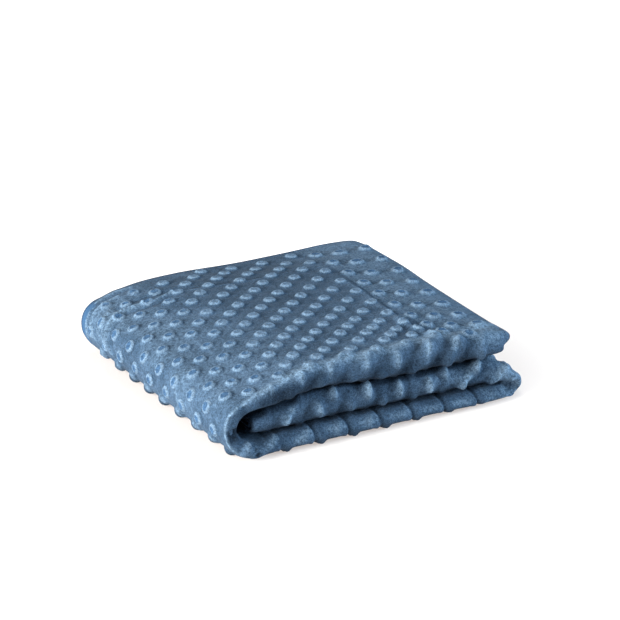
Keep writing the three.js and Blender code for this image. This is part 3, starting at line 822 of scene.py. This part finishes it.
# Looks for the material: all but dot_distance, dot_crisp and hem_blue carry painted light and shade
LOOKS = ["dot_distance", "dot_crisp", "dot_blue", "hem_blue", "crest", "hem_edge", "tone"]
# How near the hem the painted shade along its edge sets in, in mm
PAINTED_HEM_SHADE_RAMP = (2.4, 0.3)
NO_HEM = 60
HIDDEN_START = 20


def dress(zone, band, s, w, y, row):
    """How high the cloth of the outer face stands, and its looks."""
    height, tone, looks = dot_field(zone, band, s, w, y, row)
    for field in (crease_field, swell_field, shade_field, groove_field):
        more_height, more_painted_shading = field(zone, s, w)
        height = height + more_height
        tone = tone + more_painted_shading
    hem = NO_HEM + 0 * w if band == "crease" else row.depth - row.radius + row.quarter - w
    # Besides the hem's own bluer colour: the crest's painted highlight, the painted shade along the hem's
    # edge, and the painted light and shade
    looks.update({"hem_blue": hem_blue(zone, band, s, hem), "crest": crest_share(zone, s, w),
                  "hem_edge": ramp(hem, *PAINTED_HEM_SHADE_RAMP), "tone": tone})
    return height, looks


def hidden_looks(band, s):
    # Hidden faces: full painted shade along the hem band, and full painted shade on the core near the strip's
    # start
    looks = {"dot_distance": FARTHEST + 0 * s, "hem_edge": (band == "hem") + 0 * s,
             "tone": -1.0 * (s < HIDDEN_START) * (band == "core")}
    return dict.fromkeys(LOOKS, 0 * s) | looks


vertices, cloth, shown = [], [], []
faces = []


def add_points(points, s, w, looks):
    first = sum(len(part) for part in vertices)
    vertices.append(points.reshape(-1, 3))
    cloth.append(np.stack([s, w], -1).reshape(-1, 2))
    shown.append(looks.reshape(-1, looks.shape[-1]))
    return first + np.arange(s.size).reshape(s.shape)


def zip_lines(near, far, near_at, far_at):
    """Triangles between two lines of points, by where each point stands along its line."""
    a = b = 0
    while a < len(near) - 1 or b < len(far) - 1:
        if b == len(far) - 1 or (a < len(near) - 1 and near_at[a + 1] <= far_at[b + 1]):
            faces.append((near[a], near[a + 1], far[b]))
            a += 1
        else:
            faces.append((near[a], far[b + 1], far[b]))
            b += 1


def build_zone(zone):
    """Adds a zone's points and faces, and returns its points' numbers."""
    arcs = zone_arcs(zone)
    sections = zone_sections(zone, arcs)
    face = settle(join([sections[band][0] for band in OUTER_FACE], axis=1))
    directions = outward_directions(face)
    places = [place_at(s) for s in arcs]
    radius = np.array([[thickness_at(place) / 2] for place in places])
    row = Group(radius=radius, quarter=radius * np.pi / 2,
                depth=np.array([[depth_at(place)] for place in places]))
    ids = {}
    start = 0
    for band in BANDS:
        points, y, w = sections[band]
        s = np.broadcast_to(arcs[:, None], w.shape)
        if band in OUTER_FACE:
            end = start + points.shape[1]
            height, looks = dress(zone.name, band, s, w, y, row)
            points = face[:, start:end] + directions[:, start:end] * height[..., None]
            points[..., 2] = np.maximum(points[..., 2], 0)
            start = end
        else:
            points, looks = settle(points), hidden_looks(band, s)
        looks = np.stack([looks[name] for name in LOOKS], -1)
        keep = np.unique(np.append(np.arange(0, len(arcs), STRIDES[band]), len(arcs) - 1))
        grid = add_points(points[keep], s[keep], w[keep], looks[keep])
        quads = np.stack([grid[:-1, :-1], grid[:-1, 1:], grid[1:, 1:], grid[1:, :-1]], -1)
        faces.extend(map(tuple, quads.reshape(-1, 4).tolist()))
        ids[band] = Group(rows=keep, ids=grid)
    for band, following in BAND_PAIRS:
        here, there = ids[band], ids[following]
        zip_lines(here.ids[:, -1], there.ids[:, 0], here.rows, there.rows)
    return ids


def join_zones(before, after):
    """Joins the last row of one zone to the first of the next."""
    for band, following in BAND_PAIRS:
        near = np.append(before[band].ids[-1], before[following].ids[-1][0])
        far = np.append(after[band].ids[0], after[following].ids[0][0])
        zip_lines(far, near, np.linspace(0, 1, len(far)), np.linspace(0, 1, len(near)))


# Which of the core's points go round the inner hem
INNER_HEM_START = SHORT_RUN + CORE_TURNS["inner_front"] + LONG_RUN + 1
INNER_HEM_END = INNER_HEM_START + CORE_TURNS["inner_hem"] - 1


def close_end(ids, row, turned):
    """Closes an end of the strip, from the outer face's line to the inner face's."""
    first = len(faces)
    core = ids["core"].ids[row]
    outer = join([ids[band].ids[row] for band in OUTER_FACE] + [core[:INNER_HEM_START]])
    inner = core[INNER_HEM_END:][::-1]
    points = join(vertices)

    def along(line):
        steps = np.linalg.norm(np.diff(points[line], axis=0), axis=1)
        return join([[0], np.cumsum(steps)]) / steps.sum()
    zip_lines(outer, inner, along(outer), along(inner))
    inner_hem = core[INNER_HEM_START:INNER_HEM_END][::-1]
    outer_hem = ids["hem"].ids[row][::-1]
    for rim in ([inner[-1], *inner_hem, outer[-1]], [outer[0], *outer_hem, inner[0]]):
        faces.extend((rim[0], here, following) for here, following in zip(rim[1:], rim[2:]))
    if turned:
        faces[first:] = [tuple(reversed(face)) for face in faces[first:]]


built = [build_zone(zone) for zone in ZONES]
for before, after in zip(built, built[1:]):
    join_zones(before, after)
close_end(built[0], 0, True)
close_end(built[-1], -1, False)

# Dents that move all the cloth about a place together
DENTS = rows("x y z reach_x reach_y reach_z move_x move_y move_z", [
    (226, 0, 8.5, 7, 9, 4.0, 0, 8.0, 0),
    (10, 4, 17, 14, 16, 8, 0, 0, -2.6),
    (226, 130, 50, 17, 150, 15, 4.6, 0, 0),
    (216, 16, 50, 12, 20, 9, 2.5, 0, 0.8),
    (211, 3, 37, 9, 10, 6, 4.5, 0, -1.0),
    (155, 235, 58, 60, 30, 14, 0, 0, -2.6),
    (236, 195, 50, 14, 45, 14, 0, 0, 1.6),
    (238, 14, 51, 9, 22, 7, -4.0, 0, -3.0),
    (90, -2, 6, 110, 12, 9, 0, -3.8, 0),
    (205, -2, 3, 34, 12, 7, 0, -3.2, 0),
])


def dented(points):
    for dent in DENTS:
        off = (points - [dent.x, dent.y, dent.z]) / [dent.reach_x, dent.reach_y, dent.reach_z]
        points = points + bell((off ** 2).sum(1))[:, None] * [dent.move_x, dent.move_y, dent.move_z]
    return points


def make_mesh(name):
    mesh = bpy.data.meshes.new(name)
    points = (dented(join(vertices)) - FOOT) * MM
    mesh.from_pydata(points.tolist(), [], [tuple(int(v) for v in face) for face in faces])
    mesh.update()
    uv = mesh.uv_layers.new(name="cloth")
    corner = np.zeros(len(mesh.loops), np.int32)
    mesh.loops.foreach_get("vertex_index", corner)
    places = join(cloth)[corner] * MM
    uv.data.foreach_set("uv", places.astype(np.float32).ravel())
    for label, column in zip(LOOKS, join(shown).T):
        values = mesh.attributes.new(label, "FLOAT", "POINT")
        values.data.foreach_set("value", column.astype(np.float32))
    mesh.polygons.foreach_set("use_smooth", np.ones(len(mesh.polygons), bool))
    return mesh


def outward(mesh):
    work = bmesh.new()
    work.from_mesh(mesh)
    bmesh.ops.recalc_face_normals(work, faces=work.faces)
    work.to_mesh(mesh)
    work.free()


def add_object(name, data):
    made = bpy.data.objects.new(name, data)
    scene.collection.objects.link(made)
    return made


mesh = make_mesh("plush_blanket")
outward(mesh)
blanket = add_object("plush_blanket", mesh)
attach(blanket, "root")
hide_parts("blanket")


# Materials
class Graph:
    """A new material and what its node tree is built with."""

    def __init__(self, name):
        self.material = bpy.data.materials.new(name)
        self.material.use_nodes = True
        self.nodes = self.material.node_tree.nodes
        self.links = self.material.node_tree.links

    def add(self, kind, **settings):
        node = self.nodes.new(kind)
        for key, value in settings.items():
            setattr(node, key, value)
        return node

    def put(self, socket, value):
        if isinstance(value, bpy.types.NodeSocket):
            self.links.new(value, socket)
        else:
            socket.default_value = value

    def shade(self, settings):
        for name, value in settings.items():
            self.put(self.nodes["Principled BSDF"].inputs[name], value)
        return self.material

    def math(self, operation, a, b, clamp=False):
        node = self.add("ShaderNodeMath", operation=operation, use_clamp=clamp)
        self.put(node.inputs[0], a)
        self.put(node.inputs[1], b)
        return node.outputs[0]

    def times(self, *values):
        total = values[0]
        for value in values[1:]:
            total = self.math("MULTIPLY", total, value)
        return total

    def ramp(self, value, low, high, to_low=0.0, to_high=1.0):
        node = self.add("ShaderNodeMapRange", interpolation_type="SMOOTHSTEP")
        for socket, given in zip(node.inputs, (value, low, high, to_low, to_high)):
            self.put(socket, given)
        return node.outputs[0]

    def blend(self, factor, a, b, mode="MIX"):
        node = self.add("ShaderNodeMix", data_type="RGBA", blend_type=mode)
        for index, given in ((0, factor), (6, a), (7, b)):
            self.put(node.inputs[index], given)
        return node.outputs[2]

    def noise(self, vector, scale, detail=2.0, roughness=0.5):
        node = self.add("ShaderNodeTexNoise")
        settings = {"Vector": vector, "Scale": scale, "Detail": detail, "Roughness": roughness}
        for name, given in settings.items():
            self.put(node.inputs[name], given)
        return node.outputs["Fac"]

    def look(self, name):
        return self.add("ShaderNodeAttribute", attribute_name=name).outputs["Fac"]


# Colours of the pile
GROUND_LOW = (0.030, 0.058, 0.100, 1)
GROUND_HIGH = (0.046, 0.083, 0.138, 1)
# Painted sheen on the dots' heads and rings, and painted shade in their centres
PAINTED_SHEEN = (0.120, 0.190, 0.278, 1)
PAINTED_CENTRE_SHADE = (0.029, 0.071, 0.144, 1)
# Lit and shaded pile: painted light and shade laid over the ground colours
LIT_PILE = (0.115, 0.185, 0.270, 1)
SHADED_PILE = (0.010, 0.020, 0.036, 1)
SMOOTH_HEM = (0.030, 0.078, 0.160, 1)
# Painted shade along the hem's edge
PAINTED_HEM_SHADE = (0.012, 0.022, 0.040, 1)
# Where a dot's ring of painted sheen and its centre of painted shade start, in dot radii, and how far the
# pile makes them waver
RING_START = (0.86, 0.72)
CENTRE_START = (0.55, 0.40)
WOBBLE = 0.35
# The middle stretches of the noises, the grain they give, and their scales
NOISE_SPAN = (0.3, 0.7)
PATCH_SPAN = (0.4, 0.6)
FINE_GRAIN = (0.62, 1.38)
COARSE_GRAIN = (-0.18, 0.18)
SCALES = Group(fine=1100.0, coarse=420.0, patches=130.0, broad=34.0)
# How much each look covers, and the spans within which the coarse noise varies two of them
HEAD_COVER = (0.55, 0.3)
RING_COVER = 0.65
CENTRE_COVER = 0.85
LIT_COVER = 0.55
HEM_COVER = (0.0, 0.85)
PAINTED_HEM_SHADE_COVER = 0.6
PAINTED_SHADING_SPAN = (0.6, 1.4)
CREST_SPAN = (0.35, 1.0)


def pile_colour(graph, place, fine, coarse):
    wobble = graph.times(graph.math("SUBTRACT", coarse, 0.5), WOBBLE)
    distance = graph.math("ADD", graph.look("dot_distance"), wobble)
    crisp, blue = graph.look("dot_crisp"), graph.look("dot_blue")
    outer = graph.ramp(distance, *RING_START)
    inner = graph.ramp(distance, *CENTRE_START)
    ring = graph.times(graph.math("SUBTRACT", outer, inner), crisp)
    broad = graph.noise(place, SCALES.broad)
    patches = graph.noise(place, SCALES.patches, 3.0, 0.6)
    patches = graph.math("ADD", graph.times(broad, 0.5), graph.times(patches, 0.5))
    # Masks of painted light and shade: the painted light and shade mottled by the coarse noise, painted sheen
    # on the dots' heads, and a painted highlight along the crest
    tone = graph.times(graph.look("tone"), graph.ramp(coarse, *NOISE_SPAN, *PAINTED_SHADING_SPAN))
    head = graph.times(outer, crisp, graph.ramp(blue, 0.3, 1.0, *HEAD_COVER))
    crest = graph.times(graph.look("crest"), graph.ramp(coarse, *NOISE_SPAN, *CREST_SPAN))
    grain = graph.math("ADD", graph.ramp(fine, *NOISE_SPAN, *FINE_GRAIN),
                       graph.ramp(coarse, *NOISE_SPAN, *COARSE_GRAIN))
    colour = graph.blend(graph.ramp(patches, *PATCH_SPAN), GROUND_LOW, GROUND_HIGH)
    # Painted light and shade over the ground: lit and shaded pile, painted sheen on the dots' heads and
    # rings, painted shade in their centres, and the painted highlight along the crest
    for cover, pile in ((graph.math("MULTIPLY", tone, LIT_COVER, clamp=True), LIT_PILE),
                        (graph.math("MULTIPLY", tone, -1.0, clamp=True), SHADED_PILE),
                        (head, PAINTED_SHEEN),
                        (graph.times(ring, RING_COVER), PAINTED_SHEEN),
                        (graph.times(inner, crisp, blue, CENTRE_COVER), PAINTED_CENTRE_SHADE),
                        (crest, LIT_PILE)):
        colour = graph.blend(cover, colour, pile)
    colour = graph.blend(1.0, colour, grain, "MULTIPLY")
    colour = graph.blend(graph.ramp(graph.look("hem_blue"), 0.2, 0.8, *HEM_COVER), colour, SMOOTH_HEM)
    # Painted shade along the hem's edge
    return graph.blend(graph.times(graph.look("hem_edge"), PAINTED_HEM_SHADE_COVER), colour, PAINTED_HEM_SHADE)


def pile_bump(graph, fine, coarse):
    bump = graph.add("ShaderNodeBump")
    graph.put(bump.inputs["Strength"], 0.7)
    graph.put(bump.inputs["Distance"], 0.0014)
    graph.put(bump.inputs["Height"], graph.math("ADD", graph.times(fine, 0.5), graph.times(coarse, 0.9)))
    return bump.outputs[0]


def plush_material():
    graph = Graph("blue_plush")
    place = graph.add("ShaderNodeTexCoord").outputs["Object"]
    fine = graph.noise(place, SCALES.fine, roughness=0.65)
    coarse = graph.noise(place, SCALES.coarse)
    return graph.shade({
        "Base Color": pile_colour(graph, place, fine, coarse), "Normal": pile_bump(graph, fine, coarse),
        "Roughness": 0.9, "Specular IOR Level": 0.06, "Sheen Weight": 0.04, "Sheen Roughness": 0.4,
        "Sheen Tint": (0.75, 0.88, 1.0, 1)})


blanket.data.materials.append(plush_material())

# The floor glows white; near the blanket its glow is a little warmer and darker, a painted shadow
FLOOR_HALF = 6.0
FLOOR_Z = -0.0004
GLOW_REACH = (0.13, 0.36)
PAINTED_SHADOW_GLOW = (0.51, 0.458, 0.43, 1)
WHITE = (1, 1, 1, 1)
WORLD_STRENGTH = 0.06


def floor_material():
    graph = Graph("floor_white")
    away = graph.add("ShaderNodeVectorMath", operation="LENGTH")
    graph.put(away.inputs[0], graph.add("ShaderNodeTexCoord").outputs["Object"])
    glow = graph.blend(graph.ramp(away.outputs["Value"], *GLOW_REACH), PAINTED_SHADOW_GLOW, WHITE)
    return graph.shade({"Base Color": (0.44, 0.44, 0.44, 1), "Emission Color": glow, "Emission Strength": 1.0,
                        "Roughness": 0.95, "Specular IOR Level": 0.1})


def make_floor():
    plane = bpy.data.meshes.new("floor")
    corners = [(x * FLOOR_HALF, y * FLOOR_HALF, 0) for x, y in ((-1, -1), (1, -1), (1, 1), (-1, 1))]
    plane.from_pydata(corners, [], [(0, 1, 2, 3)])
    plane.materials.append(floor_material())
    floor = add_object("floor", plane)
    floor.location.z = FLOOR_Z
    return floor


floor = make_floor()
scene.world = bpy.data.worlds.new("studio")
scene.world.use_nodes = True
background = scene.world.node_tree.nodes["Background"].inputs
background["Color"].default_value = WHITE
background["Strength"].default_value = WORLD_STRENGTH

# The lights are round, stand around this point and are aimed at it
AIM = Vector((0, 0, 0.03))
LIGHT_DISTANCE = 2
LIGHT_SIZE = 1.0


def stand(thing, place, towards):
    """Puts a light or a camera at a place, looking along a direction."""
    thing.location = place
    thing.rotation_mode = "QUATERNION"
    thing.rotation_quaternion = towards.to_track_quat("-Z", "Y")


def disk_light(name, azimuth, elevation, power, colour):
    """One light; its angles are in degrees."""
    turn, rise = np.radians(azimuth), np.radians(elevation)
    towards = Vector((np.cos(turn) * np.cos(rise), np.sin(turn) * np.cos(rise), np.sin(rise)))
    data = bpy.data.lights.new(name, "AREA")
    data.shape = "DISK"
    data.size = LIGHT_SIZE
    data.energy = power
    data.color = colour
    stand(add_object(name, data), towards * LIGHT_DISTANCE + AIM, -towards)


disk_light("key", 184, 15, 124, (1.0, 0.97, 0.92))
disk_light("key_soft", 215, 35, 12, (1.0, 0.98, 0.95))
disk_light("top", 0, 90, 17, (1.0, 0.97, 0.92))
disk_light("front_fill", 300, 25, 9, (0.75, 1.0, 1.2))
disk_light("right_fill", 335, 14, 48, (0.8, 1.0, 1.15))

# The camera solved from the photo: its place in the strip's millimetres, and its focal length in
# pixels of the photo
CAMERA_PLACE = (-508.2, -972.6, 509.0)
CAMERA_TOWARDS = (0.4713, 0.8130, -0.3420)
SENSOR = 36
FOCAL_PIXELS = 1800
PHOTO_PIXELS = 620


def make_camera():
    data = bpy.data.cameras.new("camera")
    data.sensor_width = SENSOR
    data.lens = SENSOR * FOCAL_PIXELS / PHOTO_PIXELS
    data.clip_start = 0.05
    data.clip_end = 50
    camera = add_object("camera", data)
    stand(camera, [(value - foot) * MM for value, foot in zip(CAMERA_PLACE, FOOT)], Vector(CAMERA_TOWARDS))
    return camera


scene.camera = make_camera()
scene.view_settings.view_transform = "Standard"
